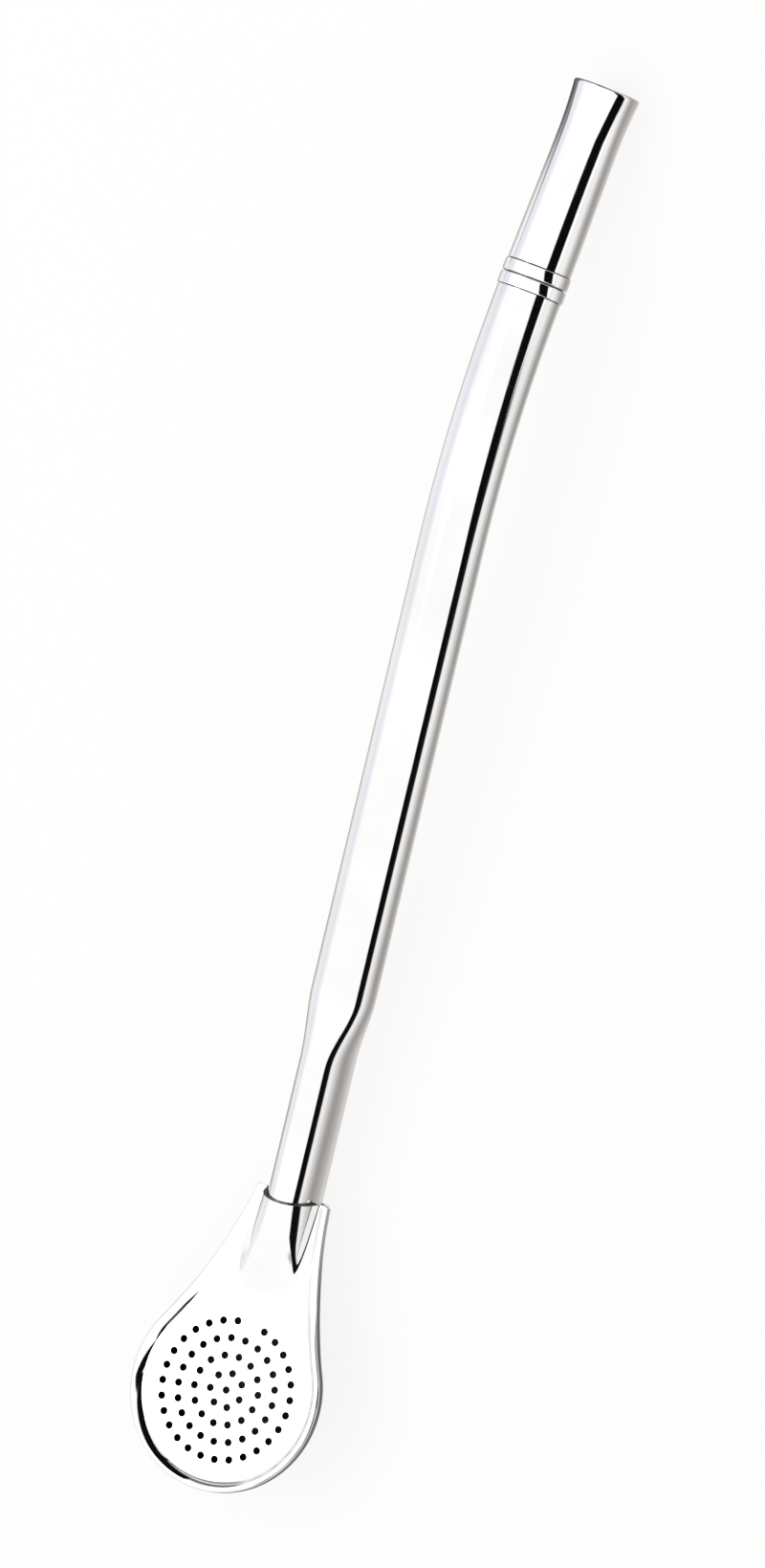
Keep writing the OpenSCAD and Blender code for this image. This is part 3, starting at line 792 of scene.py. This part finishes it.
class STRAW_OT_mouthpiece(bpy.types.Operator):
    """Builds the mouthpiece with its waist and rounded lip, and the two crowned rings below it"""
    bl_idname = "straw.mouthpiece"
    bl_label = "Mouthpiece and Rings"

    def mouth_profile(self, lay, seat):
        """Half section of the mouthpiece: outside from the rings to the lip, then back along the bore"""
        s = lay.s
        steps, lip_steps = 40, 16
        waist = s.mouth_len - s.waist_at
        lip = s.mouth_len - s.lip_round
        waist_r = lay.tube_r - s.waist_dip
        lip_r = lay.tube_r + s.lip_rise
        bore = seat - s.sleeve_wall
        profile = []
        for i in range(steps + 1):
            profile.append((lay.tube_r - s.waist_dip * eased(i / steps), waist * i / steps))
        for i in range(1, steps + 1):
            x = waist + (lip - waist) * i / steps
            flare = ((x - waist) / (s.waist_at - s.lip_round)) ** 2
            profile.append((waist_r + (lip_r - waist_r) * flare, x))
        for i in range(1, lip_steps + 1):
            p = Vector((lip_r - s.lip_round, lip)) + s.lip_round * turn(math.pi * i / lip_steps)
            profile.append((p.x, p.y))
        return profile + [(bore, waist), (bore, s.sleeve_seat), (seat, s.sleeve_seat), (seat, 0.0)]

    def ring_profile(self, lay, seat):
        """Half section of a ring: a low crown between two sloped edges"""
        s = lay.s
        steps, edge_round = 16, 0.1 * MM
        groove = lay.tube_r - s.ring_groove
        top = lay.tube_r + s.ring_rise
        edge = top - s.ring_crown
        crown_len = s.ring_len - 2 * s.ring_edge
        corners = [(groove, 0.0, 0)]
        for i in range(steps + 1):
            bulge = 1 - (2 * i / steps - 1) ** 2
            corners.append((edge + (top - edge) * bulge, s.ring_edge + crown_len * i / steps,
                            edge_round if i in (0, steps) else 0))
        return rounded(corners + [(groove, s.ring_len, 0), (seat, s.ring_len, 0), (seat, 0.0, 0)])

    def execute(self, context):
        lay = Layout(context.scene)
        finish = context.scene.straw_finish
        seat = lay.bore_r + lay.s.seat_step
        bright = steel_material("Mouth Steel", finish.bright_steel)
        place = lay.past_bend() @ Matrix.Translation((lay.mouth_at, 0, 0))
        mesh = tidied(turned("mouthpiece", self.mouth_profile(lay, seat), place))
        place_piece(clothed(mesh, bright), "stem", "mouthpiece")

        ring_steel = steel_material("Ring Steel", finish.bright_steel)
        for node, start in (("lower_ring", 0.0), ("upper_ring", lay.s.ring_len)):
            place = lay.past_bend() @ Matrix.Translation((start, 0, 0))
            mesh = tidied(turned(node, self.ring_profile(lay, seat), place))
            place_piece(clothed(mesh, ring_steel), "stem", node)
        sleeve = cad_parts["joint_sleeve"]
        clothed(sleeve.data, steel_material("Sleeve Steel", finish.tube_steel))
        return {"FINISHED"}


class STRAW_OT_plate(bpy.types.Operator):
    """Builds the perforated plate with the half-neck that the stem pushes into"""
    bl_idname = "straw.plate"
    bl_label = "Strainer Plate"

    def neck_height(self, lay, x):
        """Height of the half-neck's hollow at x: along the stem's upper side, then down a ramp"""
        s = lay.s
        t = lay.t
        rise = s.stem_rise
        ramp_start = t.neck_len - s.stem_insert / math.cos(rise)
        ramp_len = ramp_start - (t.neck_len - t.neck_run)
        inward = t.neck_len - max(x, ramp_start)
        height = (lay.oval_seat[1] - inward * math.sin(rise)) * math.cos(rise)
        if x >= ramp_start:
            return height
        u = min(1.0, (ramp_start - x) / ramp_len)
        fall = math.sin(rise) * math.cos(rise) * ramp_len
        level = height * (2 * u ** 3 - 3 * u * u + 1)
        return max(0.0, level - fall * (u ** 3 - 2 * u * u + u))

    def neck_section(self, lay, x):
        """Points (y, z) across the plate at x: flat, over the half-neck's arch and flat again"""
        t = lay.t
        edge = lay.half_width(x, t.rim_w - t.rim_bite)
        half = lay.oval_seat[0] + t.sheet + t.neck_flare * (t.neck_len - x) / t.neck_run
        height = self.neck_height(lay, x) + t.sheet
        foot = math.asin(min(1.0, t.sheet / height))
        arch = []
        for i in range(ARCH_POINTS + 1):
            a = foot + (math.pi - 2 * foot) * i / ARCH_POINTS
            if height > t.sheet * 1.0001:
                arch.append((half * math.cos(a), height * math.sin(a)))
            else:
                arch.append((half * math.cos(math.pi * i / ARCH_POINTS), t.sheet))
        first, last = arch[0][0], arch[-1][0]
        near = [(edge + (first - edge) * i / FLAT_POINTS, t.sheet) for i in range(FLAT_POINTS)]
        far = [(last + (-edge - last) * i / FLAT_POINTS, t.sheet) for i in range(1, FLAT_POINTS + 1)]
        section = near + arch + far
        for _ in range(ARCH_SMOOTHING):
            inner = [((a[0] + 2 * b[0] + c[0]) / 4, (a[1] + 2 * b[1] + c[1]) / 4)
                     for a, b, c in zip(section, section[1:], section[2:])]
            section = [section[0]] + inner + [section[-1]]
        return section

    def neck_rows(self, lay, split):
        """Rows of points across the plate, from the collar to the split, square to the stem on the arch"""
        t = lay.t
        stations = [t.neck_len - t.neck_run * i / NECK_ROWS for i in range(NECK_ROWS + 1)]
        run_out = stations[-1]
        stations += [run_out + (split - run_out) * i / FLAT_ROWS for i in range(1, FLAT_ROWS + 1)]
        lean = math.tan(lay.s.stem_rise)
        return [[Vector((x - (z - t.sheet) * lean, y, z)) for y, z in self.neck_section(lay, x)]
                for x in stations]

    def outline(self, lay, last_row, split):
        """Edge of the perforated part: the last row of the neck, then round the head and back to it"""
        t = lay.t
        side_steps, round_steps = 16, 160
        inset = t.rim_w - t.rim_bite
        tangent = (t.head_r - inset) * math.cos(lay.side_angle)
        side = [split + (tangent - split) * i / side_steps for i in range(1, side_steps)]
        sweep = 2 * math.pi - 2 * lay.side_angle
        points = [(p.x, p.y, 0.0) for p in last_row]
        points += [(x, -lay.half_width(x, inset), 0.0) for x in side]
        for i in range(round_steps + 1):
            p = (t.head_r - inset) * turn(-lay.side_angle - sweep * i / round_steps)
            points.append((p.x, p.y, 0.0))
        return points + [(x, lay.half_width(x, inset), 0.0) for x in reversed(side)]

    def joined(self, disc, rows):
        """One sheet of the perforated part and the rows of the neck, with its faces up"""
        bm = bmesh.new()
        bm.from_mesh(disc)
        made = [bm.verts.new(p) for row in rows for p in row]
        for face in sheet_faces(len(rows), len(rows[0])):
            bm.faces.new([made[i] for i in face])
        bmesh.ops.remove_doubles(bm, verts=bm.verts, dist=SEAM_MERGE)
        for face in bm.faces:
            face.normal_update()
            if face.normal.z < 0:
                face.normal_flip()
        mesh = bpy.data.meshes.new("strainer_plate")
        bm.to_mesh(mesh)
        bm.free()
        return mesh

    def execute(self, context):
        lay = Layout(context.scene)
        t = lay.t
        finish = context.scene.straw_finish
        collar = (lay.lying() @ Vector((t.neck_len, 0, 0))).x
        polished_from = collar - t.neck_run
        steel = steel_material("Plate Steel", finish.pressed_steel,
                               (polished_from - t.satin_ease, polished_from))
        # Painted shade for the plate's underside, hole walls and edges
        inside = steel_material("Plate Inside Painted Shade", finish.inside_painted_shade)
        split = t.head_r * PATCH_SHARE
        rows = self.neck_rows(lay, split)
        outline = self.outline(lay, rows[-1], split)
        base = edge_mesh("plate_outline", outline, [(0, len(outline), True)])
        disc = grown("strainer_plate", base, perforation_tree(), {
            "Hole Radius": t.hole_d / 2, "Pitch": t.hole_pitch, "Rings": t.hole_rings,
            "Step": t.hole_step, "Turn": t.hole_turn, "Height": t.sheet, "Material": steel})
        mesh = walled(clothed(self.joined(disc, rows), steel, inside), t.sheet)
        mesh.transform(lay.lying())
        place_piece(tidied(mesh, recalculate=False), "strainer", "strainer_plate")
        return {"FINISHED"}


class STRAW_OT_bowl(bpy.types.Operator):
    """Builds the pressed bowl behind the plate, with its flange and its flattened belly"""
    bl_idname = "straw.bowl"
    bl_label = "Strainer Bowl"

    def station(self, ray):
        """Number of a ray's station, from the collar to the middle of the round end"""
        return min(ray, BOWL_STATIONS, BOWL_RAYS - ray)

    def start_x(self, t, ray):
        """Where on the middle line a ray starts"""
        return t.neck_len * (1 - self.station(ray) / BOWL_STATIONS)

    def ray_end(self, lay, ray, inset):
        """Where a ray ends: on one side of the neck, round the head or on the other side"""
        if self.station(ray) < BOWL_STATIONS:
            x = self.start_x(lay.t, ray)
            return Vector((x, (1 if ray < BOWL_STATIONS else -1) * lay.half_width(x, inset)))
        return (lay.t.head_r - inset) * turn(math.pi / 2 + math.pi * (ray - BOWL_STATIONS) / BOWL_FAN)

    def skin_point(self, lay, ray, step, skin):
        """A point at a step along a ray, on the inner skin or that far outside it"""
        a = math.pi / 2 * step / BOWL_STEPS
        x = self.start_x(lay.t, ray)
        middle = Vector((x, 0))
        end = self.ray_end(lay, ray, lay.flange_w - skin)
        p = middle + (end - middle) * math.sin(a) ** (2 / BOWL_FULLNESS)
        drop = lay.bowl_depth(x) * max(0.0, math.cos(a)) ** (2 / BOWL_FULLNESS) + skin
        return (p.x, p.y, max(-drop, lay.surface_z(p.x) + lay.t.sheet - skin))

    def section(self, lay, ray):
        """Points out along the inner skin, round the flange's edge and back along the outer skin"""
        t = lay.t
        edge = self.ray_end(lay, ray, t.rim_w - t.rim_bite)
        points = [self.skin_point(lay, ray, step, 0.0) for step in range(BOWL_STEPS + 1)]
        points += [(edge.x, edge.y, 0.0), (edge.x, edge.y, -t.sheet)]
        return points + [self.skin_point(lay, ray, step, t.sheet) for step in range(BOWL_STEPS, -1, -1)]

    def execute(self, context):
        lay = Layout(context.scene)
        finish = context.scene.straw_finish
        steel = steel_material("Bowl Steel", finish.pressed_steel)
        # Painted shade for the bowl's inner skin
        inside = steel_material("Bowl Inside Painted Shade", finish.inside_painted_shade)
        sections = [self.section(lay, ray) for ray in range(BOWL_RAYS + 1)]
        row = len(sections[0])
        faces, inner = [], []
        for ray in range(BOWL_RAYS):
            for k in range(row - 1):
                a, b = ray * row + k, (ray + 1) * row + k
                faces.append((a, a + 1, b + 1, b))
                inner.append(int(k < BOWL_STEPS))
        for k in range(row // 2 - 1):
            for start in (0, BOWL_RAYS * row):
                faces.append((start + k, start + k + 1, start + row - 2 - k, start + row - 1 - k))
                inner.append(0)
        mesh = bpy.data.meshes.new("back_shell")
        mesh.from_pydata([p for section in sections for p in section], [], faces)
        mesh.transform(lay.lying())
        clothed(mesh, steel, inside)
        for face, index in zip(mesh.polygons, inner):
            face.material_index = index
        place_piece(tidied(mesh, merge=SEAM_MERGE), "strainer", "back_shell")
        return {"FINISHED"}


class STRAW_OT_rim(bpy.types.Operator):
    """Builds the rolled rim that holds the plate and the bowl together"""
    bl_idname = "straw.rim"
    bl_label = "Strainer Rim"

    def outline(self, lay):
        """Points along the strainer's edge, from one side of the collar round the head to the other"""
        t = lay.t
        side_steps, round_steps = 60, 200
        tangent = t.head_r * math.cos(lay.side_angle)
        sweep = 2 * math.pi - 2 * lay.side_angle
        side = [t.neck_len + (tangent - t.neck_len) * i / side_steps for i in range(side_steps)]
        path = [(x, lay.half_width(x, 0.0), 0.0) for x in side]
        for i in range(round_steps + 1):
            p = t.head_r * turn(lay.side_angle + sweep * i / round_steps)
            path.append((p.x, p.y, 0.0))
        return path + [(x, -lay.half_width(x, 0.0), 0.0) for x in reversed(side)]

    def bead(self, t):
        """Section of the bead, mirrored in its inset and its height, as the sweep takes it"""
        steps, brow_round = 8, 0.12 * MM
        top = t.sheet + t.rim_wall
        under = -t.sheet - t.rim_under
        slot = t.rim_w - t.rim_bite - t.rim_gap
        bow = t.rim_wall / (math.cos(t.rim_brow) - math.cos(t.rim_foot))
        slope = []
        for i in range(steps + 1):
            a = t.rim_foot + (t.rim_brow - t.rim_foot) * i / steps
            slope.append((t.rim_w - bow * (math.sin(t.rim_foot) - math.sin(a)),
                          t.sheet + bow * (math.cos(a) - math.cos(t.rim_foot)),
                          brow_round if i == steps else 0))
        outside = [(t.rim_w, -t.sheet, 0), (t.rim_w, under, t.rim_under), (0.0, under, t.rim_heel),
                   (0.0, top, t.rim_round)]
        section = rounded(outside + slope[::-1] + [(slot, t.sheet, 0), (slot, -t.sheet, 0)])
        return [(-inset, -z, 0.0) for inset, z in section]

    def execute(self, context):
        lay = Layout(context.scene)
        t = lay.t
        steel = steel_material("Rim Steel", context.scene.straw_finish.bright_steel)
        path = self.outline(lay)
        section = self.bead(t)
        base = edge_mesh("rim_path", path + section,
                         [(0, len(path), False), (len(path), len(path) + len(section), True)])
        place, spin = place_and_turn(lay.lying())
        mesh = grown("rim_band", base, bead_tree(), {
            "Section Starts At": len(path), "Plate Height": t.sheet, "Fade Start": t.rim_fade_from,
            "Fade End": t.rim_fade_to, "Low Share": t.rim_low / t.rim_wall, "Place": place, "Turn": spin,
            "Material": steel})
        place_piece(clothed(tidied(mesh), steel), "strainer", "rim_band")
        return {"FINISHED"}


class STRAW_OT_stage(bpy.types.Operator):
    """Sets up the pale floor, the soft light and the camera"""
    bl_idname = "straw.stage"
    bl_label = "Stage"

    def floor_material(self, finish, lay):
        """Matt and pale, and graded with painted shade where the steel mirrors it"""
        material = bpy.data.materials.new("Pale Floor")
        material.use_nodes = True
        tree = material.node_tree
        tree.nodes.clear()
        out = tree.nodes.new("ShaderNodeOutputMaterial")
        matt = add_node(tree, "ShaderNodeBsdfDiffuse", Color=(*finish.floor, 1.0))
        ray = tree.nodes.new("ShaderNodeLightPath").outputs
        along, across, _ = parts_of(tree, tree.nodes.new("ShaderNodeTexCoord").outputs["Object"])

        def away(x, y, radius):
            """Distance on the floor from a round shape's edge"""
            flat = add_node(tree, "ShaderNodeCombineXYZ", X=x, Y=y)
            reach = add_node(tree, "ShaderNodeVectorMath", {"operation": "LENGTH"})
            wire(tree, flat.outputs[0], reach, 0)
            return sums(tree, "SUBTRACT", reach.outputs["Value"], radius)

        # Painted shade that only the steel mirrors: darker close to the stem, the round end and behind the
        # lip
        head = lay.lying() @ Vector((0, 0, 0))
        by_stem = away(sums(tree, "MINIMUM", along, 0.0), across, lay.tube_r)
        by_head = away(sums(tree, "SUBTRACT", along, head.x), across, lay.t.head_r)
        near = blend_range(tree, sums(tree, "MINIMUM", by_stem, by_head), *SHADE_REACH, 0.0, 1.0, "LINEAR")
        shade = add_node(tree, "ShaderNodeValToRGB", Fac=near)
        first, last = shade.color_ramp.elements
        first.position = 0.0
        first.color = SHADE_FIRST
        last.position = SHADE_END
        last.color = SHADE_LAST
        for place, level in SHADE_LEVELS:
            shade.color_ramp.elements.new(place).color = (*(level * part for part in SHADE_WARMTH), 1.0)

        lip = lay.past_bend() @ Vector((lay.mouth_at + lay.s.mouth_len, 0, 0))
        up_to_lip = [lip.x - distance for distance in LIP_SHADE]
        by_lip = sums(tree, "MULTIPLY", blend_range(tree, along, *up_to_lip, 0.0, LIP_DEPTH),
                      blend_range(tree, across, 0.0, LIP_SIDE, 0.0, 1.0))
        close = sums(tree, "MULTIPLY", blend_range(tree, by_head, *HEAD_SHADE, HEAD_LEVEL, 1.0),
                     sums(tree, "SUBTRACT", 1.0, by_lip))
        # A painted dark patch beyond the near side, which only the steel mirrors
        beyond = sums(tree, "MULTIPLY", blend_range(tree, across, *NEAR_SIDE, 1.0, 0.0),
                      blend_range(tree, along, *NEAR_LENGTH, 1.0, 0.0))
        mirrored = mixed(tree, beyond, dimmed(tree, shade.outputs["Color"], close), NEAR_DARK)
        glow = add_node(tree, "ShaderNodeEmission", Strength=1.0,
                        Color=mixed(tree, ray["Is Glossy Ray"], WHITE, mirrored))
        seen = sums(tree, "MAXIMUM", ray["Is Glossy Ray"], ray["Is Transmission Ray"])
        share = sums(tree, "MULTIPLY_ADD", ray["Is Camera Ray"], FLOOR_SHOWN, seen)
        mix = add_node(tree, "ShaderNodeMixShader", Fac=share)
        tree.links.new(matt.outputs[0], mix.inputs[1])
        tree.links.new(glow.outputs[0], mix.inputs[2])
        tree.links.new(mix.outputs[0], out.inputs["Surface"])
        return material

    def floor(self, finish, lay):
        """Plain pale floor, which the steel mirrors with painted shade close to the straw and a painted
        dark patch beyond the near side
        """
        half = FLOOR_HALF
        mesh = bpy.data.meshes.new("floor")
        mesh.from_pydata([(-half, -half, 0), (half, -half, 0), (half, half, 0), (-half, half, 0)],
                         [], [(0, 1, 2, 3)])
        mesh.materials.append(self.floor_material(finish, lay))
        floor = bpy.data.objects.new("floor", mesh)
        bpy.context.collection.objects.link(floor)

    def world(self, scene):
        """White all round, with painted reflections of a dark strip and three low dark cards that only the
        steel mirrors
        """
        world = bpy.data.worlds.new("Studio")
        world.use_nodes = True
        tree = world.node_tree
        tree.nodes.clear()
        out = tree.nodes.new("ShaderNodeOutputWorld")
        look = tree.nodes.new("ShaderNodeTexCoord").outputs["Generated"]

        def towards(direction):
            """Cosine of the angle between the look and a direction"""
            node = add_node(tree, "ShaderNodeVectorMath", {"operation": "DOT_PRODUCT"})
            wire(tree, look, node, 0)
            wire(tree, tuple(direction.normalized()), node, 1)
            return node.outputs["Value"]

        def card(direction, edge, height, top, depth=1.0):
            """Painted darkness of a card that faces a direction, up to its top, which only the steel
            mirrors
            """
            return sums(tree, "MULTIPLY", blend_range(tree, towards(direction), *edge, 0.0, depth),
                        blend_range(tree, height, *top, 1.0, 0.0))

        def darkest(one, other):
            """The darker of two"""
            return sums(tree, "MAXIMUM", one, other)

        across = sums(tree, "ABSOLUTE", towards(STRIP_LOW.cross(STRIP_HIGH)))
        strip = sums(tree, "MULTIPLY", blend_range(tree, across, *STRIP_EDGE, 1.0, 0.0),
                     blend_range(tree, towards(STRIP_LOW + STRIP_HIGH), *STRIP_ENDS, 0.0, 1.0))
        height = towards(Vector((0, 0, 1)))
        slant = sums(tree, "MULTIPLY_ADD", towards(Vector((1, 0, 0))), FLAG_SLANT, height)
        flag = card(FLAG_AT, FLAG_EDGE, slant, FLAG_TOP)
        flank = sums(tree, "MULTIPLY", card(FLANK_AT, FLANK_EDGE, height, FLANK_TOP),
                     blend_range(tree, towards(FLANK_AT), *FLANK_MIDDLE, 1.0, FLANK_PALE))
        ahead = card(AHEAD_AT, AHEAD_EDGE, height, AHEAD_TOP, AHEAD_DEPTH)
        # Painted reflection of a cool far side, which only the steel mirrors
        far = blend_range(tree, towards(Vector((0, 1, 0))), *FAR_EDGE, 0.0, 1.0)
        # Painted reflections: the strip and the cards darken only what the steel mirrors, and cast no shade
        painted_dark_cards = darkest(strip, darkest(flag, darkest(flank, ahead)))
        mirrored = mixed(tree, painted_dark_cards, mixed(tree, far, WHITE, FAR_TINT), DARK)
        ray = tree.nodes.new("ShaderNodeLightPath").outputs
        level = sums(tree, "MULTIPLY_ADD", ray["Is Camera Ray"], CAMERA_EXTRA, STUDIO_LIGHT)
        level = sums(tree, "MULTIPLY_ADD", ray["Is Glossy Ray"], MIRROR_EXTRA, level)
        light = add_node(tree, "ShaderNodeBackground", Strength=level,
                         Color=mixed(tree, ray["Is Glossy Ray"], WHITE, mirrored))
        tree.links.new(light.outputs[0], out.inputs["Surface"])
        scene.world = world

    def lamp(self, name, place, target, size, energy):
        """A round soft lamp that faces a target"""
        data = bpy.data.lights.new(name, "AREA")
        data.shape = "DISK"
        data.size = size
        data.energy = energy
        lamp = bpy.data.objects.new(name, data)
        lamp.location = place
        lamp.rotation_mode = "QUATERNION"
        lamp.rotation_quaternion = (Vector(target) - Vector(place)).to_track_quat("-Z", "Y")
        bpy.context.collection.objects.link(lamp)

    def camera(self, scene, lay):
        """A long lens far away, at the picture's angle and scale"""
        lying = lay.lying()
        spin = lying.to_3x3()
        right = (spin @ VIEW_RIGHT).normalized()
        up = spin @ VIEW_UP
        up = (up - right * up.dot(right)).normalized()
        back = right.cross(up)
        scale = PIXELS_PER_MM / MM
        middle = lying @ Vector((0, 0, 0)) + right * (TO_MIDDLE[0] / scale) + up * (TO_MIDDLE[1] / scale)
        data = bpy.data.cameras.new("Camera")
        data.sensor_width = SENSOR
        data.lens = LENS
        data.clip_start = 0.1
        data.clip_end = 100.0
        camera = bpy.data.objects.new("Camera", data)
        camera.matrix_world = Matrix((right, up, back)).transposed().to_4x4()
        camera.location = middle + back * (PICTURE_HEIGHT / scale / SENSOR * LENS)
        bpy.context.collection.objects.link(camera)
        scene.camera = camera

    def execute(self, context):
        scene = context.scene
        lay = Layout(scene)
        self.camera(scene, lay)
        self.floor(scene.straw_finish, lay)
        self.world(scene)
        self.lamp("overhead", place=(0.1, 0.5, 1.2), target=(0.06, 0, 0), size=0.9, energy=3.0)
        scene.view_settings.view_transform = "Standard"
        return {"FINISHED"}


class STRAW_PT_panel(bpy.types.Panel):
    """Lists the straw's pieces and sizes"""
    bl_idname = "STRAW_PT_panel"
    bl_label = "Mate Straw"
    bl_space_type = "VIEW_3D"
    bl_region_type = "UI"
    bl_category = "Mate Straw"

    def draw(self, context):
        for operator in OPERATORS:
            self.layout.operator(operator.bl_idname)
        scene = context.scene
        for group in (scene.straw_stem, scene.straw_strainer, scene.straw_finish):
            column = self.layout.column(align=True)
            for key in group.__annotations__:
                column.prop(group, key)


OPERATORS = (STRAW_OT_stem, STRAW_OT_mouthpiece, STRAW_OT_plate, STRAW_OT_bowl, STRAW_OT_rim,
             STRAW_OT_stage)
CLASSES = (StemSizes, StrainerSizes, Finish) + OPERATORS + (STRAW_PT_panel,)


def register():
    """Registers the classes and gives the scene its sizes and colours"""
    for cls in CLASSES:
        bpy.utils.register_class(cls)
    bpy.types.Scene.straw_stem = PointerProperty(type=StemSizes)
    bpy.types.Scene.straw_strainer = PointerProperty(type=StrainerSizes)
    bpy.types.Scene.straw_finish = PointerProperty(type=Finish)


def unregister():
    """Takes back what register added"""
    del bpy.types.Scene.straw_finish
    del bpy.types.Scene.straw_strainer
    del bpy.types.Scene.straw_stem
    for cls in reversed(CLASSES):
        bpy.utils.unregister_class(cls)


def main():
    register()
    bpy.ops.straw.stem()
    bpy.ops.straw.mouthpiece()
    bpy.ops.straw.plate()
    bpy.ops.straw.bowl()
    bpy.ops.straw.rim()
    bpy.ops.straw.stage()


if __name__ == "__main__":
    main()
